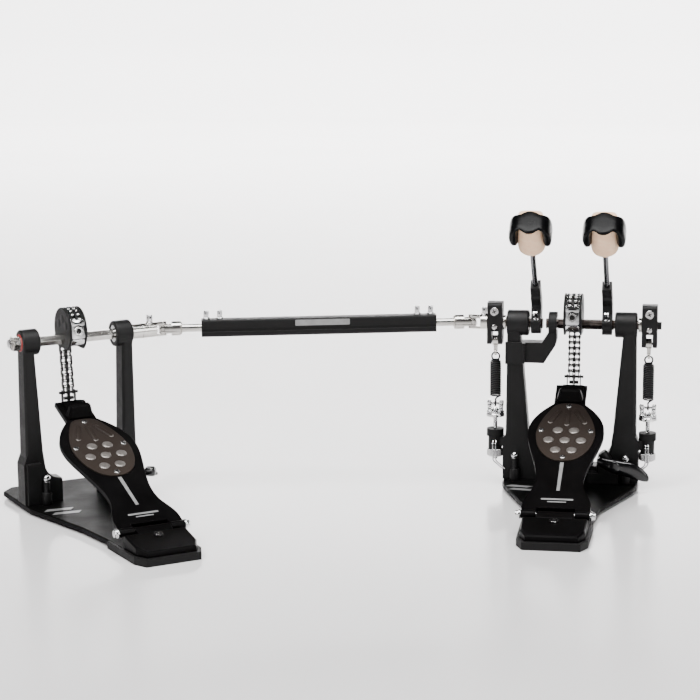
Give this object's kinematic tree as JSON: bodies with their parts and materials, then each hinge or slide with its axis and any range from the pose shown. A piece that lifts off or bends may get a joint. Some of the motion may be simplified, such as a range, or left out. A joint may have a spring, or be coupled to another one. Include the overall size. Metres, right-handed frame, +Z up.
{
  "type": "double bass drum pedal",
  "caption": "Double bass drum pedal: main pedal with paired beaters, chain cams and return springs, linked to a slave pedal by a telescoping shaft with universal joints.",
  "frame": {"origin": "on the floor, midway between the main pedal's uprights and straight below its shaft", "axes": "+Z up, +Y from the player to the drum, +X to the player's right along the main pedal's shaft, away from the slave pedal"},
  "size_m": [0.719, 0.4344, 0.3231],
  "materials": {
    "cast_black": "matte black powder coat on cast metal",
    "board_black": "satin black lacquer on cast aluminium",
    "plate_black": "matte black coated steel sheet",
    "rubber_black": "dull moulded rubber",
    "band_rubber": "satin moulded rubber",
    "felt_cream": "dense cream felt, faintly fibrous",
    "bright_steel": "polished nickel plating",
    "chrome": "mirror chrome plating",
    "dark_steel": "dark blued steel, drawn along its length",
    "spring_black": "black enamelled spring wire",
    "chain_dark": "dark oiled chain steel with bright pins",
    "smoked_bronze": "glossy smoked bronze tread with clear silver dots"
  },
  "bodies": {
    "main_frame": {"main_base_plate": "plate_black", "main_rubber_pad": "rubber_black", "main_left_upright": "cast_black", "main_right_upright": "cast_black", "main_heel_block": "board_black", "main_fasteners": "chrome", "inner_bearing_bracket": "cast_black", "main_bearings": "bright_steel", "tension_sleeves": "rubber_black", "tension_rods": "chrome", "tension_nuts": "chrome", "hoop_clamp_base": "cast_black"},
    "hoop_jaw": {"hoop_clamp_jaw": "cast_black"},
    "hoop_lever": {"hoop_clamp_lever": "cast_black"},
    "main_shaft_set": {"main_shaft": "dark_steel", "main_cam": "cast_black", "main_chain_on_cam": "chain_dark", "right_beater_holder": "cast_black", "right_rocker": "cast_black"},
    "right_beater": {"right_beater_rod": "dark_steel", "right_beater_core": "felt_cream", "right_beater_band": "band_rubber"},
    "right_spring_unit": {"right_spring": "spring_black"},
    "right_swivel": {"right_spring_link": "bright_steel"},
    "left_shaft_set": {"left_shaft": "dark_steel", "left_beater_holder": "cast_black", "left_rocker": "cast_black", "main_side_yoke": "bright_steel"},
    "left_beater": {"left_beater_rod": "dark_steel", "left_beater_core": "felt_cream", "left_beater_band": "band_rubber"},
    "left_spring_unit": {"left_spring": "spring_black"},
    "left_swivel": {"left_spring_link": "bright_steel"},
    "main_board": {"main_footboard": "board_black", "main_traction_plate": "smoked_bronze", "main_toe_bracket": "board_black"},
    "main_chain_first": {"main_chain_upper": "chain_dark"},
    "main_chain_second": {"main_chain_lower": "chain_dark"},
    "main_chain_third": {"main_chain_span": "chain_dark"},
    "drive_tube_set": {"drive_tube": "cast_black", "tube_key_bolts": "chrome", "right_drive_rod": "dark_steel"},
    "right_cross_set": {"right_cross": "bright_steel"},
    "slave_frame": {"slave_base_plate": "plate_black", "slave_rubber_pad": "rubber_black", "slave_uprights": "cast_black", "slave_heel_block": "board_black", "slave_fasteners": "chrome"},
    "slave_shaft_set": {"slave_shaft": "bright_steel", "slave_cam": "cast_black", "slave_chain_on_cam": "chain_dark", "slave_side_yoke": "bright_steel"},
    "slave_board": {"slave_footboard": "board_black", "slave_traction_plate": "smoked_bronze", "slave_toe_bracket": "board_black"},
    "slave_chain_first": {"slave_chain_upper": "chain_dark"},
    "slave_chain_second": {"slave_chain_lower": "chain_dark"},
    "slave_chain_third": {"slave_chain_span": "chain_dark"},
    "drive_rod_set": {"left_drive_rod": "dark_steel"},
    "left_cross_set": {"left_cross": "bright_steel"}
  },
  "joints": [
    {"name": "main_board_hinge", "type": "hinge", "parent": "main_frame", "child": "main_board", "pos_m": [0, -0.2137, 0.0226], "axis": [-1, 0, 0], "range_deg": [0, 4.83], "stiffness_Nm_per_rad": 8, "springref_deg": -14.32},
    {"name": "slave_board_hinge", "type": "hinge", "parent": "slave_frame", "child": "slave_board", "pos_m": [-0.40351, -0.32353, 0.0226], "axis": [-0.7905, -0.6125, 0], "range_deg": [0, 4.83], "stiffness_Nm_per_rad": 8, "springref_deg": -14.32},
    {"name": "main_shaft_turn", "type": "hinge", "parent": "main_frame", "child": "main_shaft_set", "pos_m": [0, 0, 0.186], "axis": [-1, 0, 0], "range_deg": [0, 42.01]},
    {"name": "slave_shaft_turn", "type": "hinge", "parent": "slave_frame", "child": "slave_shaft_set", "pos_m": [-0.5344, -0.1546, 0.186], "axis": [-0.7905, -0.6125, 0], "range_deg": [0, 42.01]},
    {"name": "main_chain_first_pivot", "type": "hinge", "parent": "main_shaft_set", "child": "main_chain_first", "pos_m": [0, 0.01759, 0.2105], "axis": [-1, 0, 0], "range_deg": [-11.22, 0]},
    {"name": "main_chain_second_pivot", "type": "hinge", "parent": "main_chain_first", "child": "main_chain_second", "pos_m": [0, 0.02318, 0.19925], "axis": [-1, 0, 0], "range_deg": [-24.9, 0]},
    {"name": "main_chain_third_pivot", "type": "hinge", "parent": "main_chain_second", "child": "main_chain_third", "pos_m": [0, 0.02335, 0.1929], "axis": [-1, 0, 0], "range_deg": [-8.3, 0]},
    {"name": "slave_chain_first_pivot", "type": "hinge", "parent": "slave_shaft_set", "child": "slave_chain_first", "pos_m": [-0.54517, -0.14069, 0.2105], "axis": [-0.7905, -0.6125, 0], "range_deg": [-11.22, 0]},
    {"name": "slave_chain_second_pivot", "type": "hinge", "parent": "slave_chain_first", "child": "slave_chain_second", "pos_m": [-0.5486, -0.13628, 0.19925], "axis": [-0.7905, -0.6125, 0], "range_deg": [-24.9, 0]},
    {"name": "slave_chain_third_pivot", "type": "hinge", "parent": "slave_chain_second", "child": "slave_chain_third", "pos_m": [-0.5487, -0.13615, 0.1929], "axis": [-0.7905, -0.6125, 0], "range_deg": [-8.3, 0]},
    {"name": "left_shaft_turn", "type": "hinge", "parent": "main_frame", "child": "left_shaft_set", "pos_m": [0, 0, 0.186], "axis": [-1, 0, 0], "range_deg": [0, 40.55]},
    {"name": "right_spring_tilt", "type": "hinge", "parent": "main_frame", "child": "right_spring_unit", "pos_m": [0.0855, 0, 0.0925], "axis": [1, 0, 0], "range_deg": [0, 9.89]},
    {"name": "right_spring_stretch", "type": "slide", "parent": "right_spring_unit", "child": "right_swivel", "axis": [0, 0, 1], "range_m": [0, 0.00642], "deforming": ["right_spring"]},
    {"name": "left_spring_tilt", "type": "hinge", "parent": "main_frame", "child": "left_spring_unit", "pos_m": [-0.0855, 0, 0.0925], "axis": [1, 0, 0], "range_deg": [0, 9.65]},
    {"name": "left_spring_stretch", "type": "slide", "parent": "left_spring_unit", "child": "left_swivel", "axis": [0, 0, 1], "range_m": [0, 0.00602], "deforming": ["left_spring"]},
    {"name": "slave_pedal_distance", "type": "slide", "parent": "main_frame", "child": "slave_frame", "axis": [-0.9677, -0.2521, 0], "range_m": [-0.015, 0.05]},
    {"name": "drive_rod_turn", "type": "hinge", "parent": "slave_frame", "child": "drive_rod_set", "pos_m": [-0.44776, -0.08747, 0.186], "axis": [-0.9677, -0.2521, 0], "range_deg": [0, 39.63]},
    {"name": "drive_tube_turn", "type": "hinge", "parent": "main_frame", "child": "drive_tube_set", "pos_m": [-0.1122, 0, 0.186], "axis": [-0.9677, -0.2521, 0], "range_deg": [0, 39.63]},
    {"name": "left_cross_pivot", "type": "hinge", "parent": "slave_shaft_set", "child": "left_cross_set", "pos_m": [-0.44776, -0.08747, 0.186], "axis": [0, 0, 1], "range_deg": [0, 5.53]},
    {"name": "right_cross_pivot", "type": "hinge", "parent": "left_shaft_set", "child": "right_cross_set", "pos_m": [-0.1122, 0, 0.186], "axis": [0, 0, 1], "range_deg": [-3.4, 0]},
    {"name": "right_beater_height", "type": "slide", "parent": "main_shaft_set", "child": "right_beater", "axis": [0, -0.6691, 0.7431], "range_m": [-0.012, 0.02]},
    {"name": "left_beater_height", "type": "slide", "parent": "left_shaft_set", "child": "left_beater", "axis": [0, -0.6691, 0.7431], "range_m": [-0.012, 0.02]},
    {"name": "clamp_screw_turn", "type": "hinge", "parent": "main_frame", "child": "hoop_lever", "pos_m": [0.05, -0.0215, 0.03], "axis": [0, -1, 0], "range_deg": [0, 80]},
    {"name": "clamp_jaw_swing", "type": "hinge", "parent": "main_frame", "child": "hoop_jaw", "pos_m": [0, 0.008, 0.034], "axis": [-1, 0, 0], "range_deg": [0, 8]}
  ],
  "couplings": [
    {"joint": "main_shaft_turn", "follows": "main_board_hinge", "ratio": 8.6966},
    {"joint": "slave_shaft_turn", "follows": "slave_board_hinge", "ratio": 8.6966},
    {"joint": "main_chain_first_pivot", "follows": "main_board_hinge", "ratio": -2.3218},
    {"joint": "main_chain_second_pivot", "follows": "main_board_hinge", "ratio": -5.1545},
    {"joint": "main_chain_third_pivot", "follows": "main_board_hinge", "ratio": -1.7182},
    {"joint": "slave_chain_first_pivot", "follows": "slave_board_hinge", "ratio": -2.3218},
    {"joint": "slave_chain_second_pivot", "follows": "slave_board_hinge", "ratio": -5.1545},
    {"joint": "slave_chain_third_pivot", "follows": "slave_board_hinge", "ratio": -1.7182},
    {"joint": "left_shaft_turn", "follows": "slave_board_hinge", "ratio": 8.3951},
    {"joint": "right_spring_tilt", "follows": "main_board_hinge", "ratio": 2.0466},
    {"joint": "right_spring_stretch", "follows": "main_board_hinge", "m_per_rad": 0.076168},
    {"joint": "left_spring_tilt", "follows": "slave_board_hinge", "ratio": 1.9979},
    {"joint": "left_spring_stretch", "follows": "slave_board_hinge", "m_per_rad": 0.071385},
    {"joint": "drive_rod_turn", "follows": "slave_board_hinge", "ratio": 8.2032},
    {"joint": "drive_tube_turn", "follows": "slave_board_hinge", "ratio": 8.2032},
    {"joint": "left_cross_pivot", "follows": "slave_board_hinge", "ratio": 1.1444},
    {"joint": "right_cross_pivot", "follows": "slave_board_hinge", "ratio": -0.70474},
    {"joint": "clamp_jaw_swing", "follows": "clamp_screw_turn", "ratio": 0.1}
  ]
}
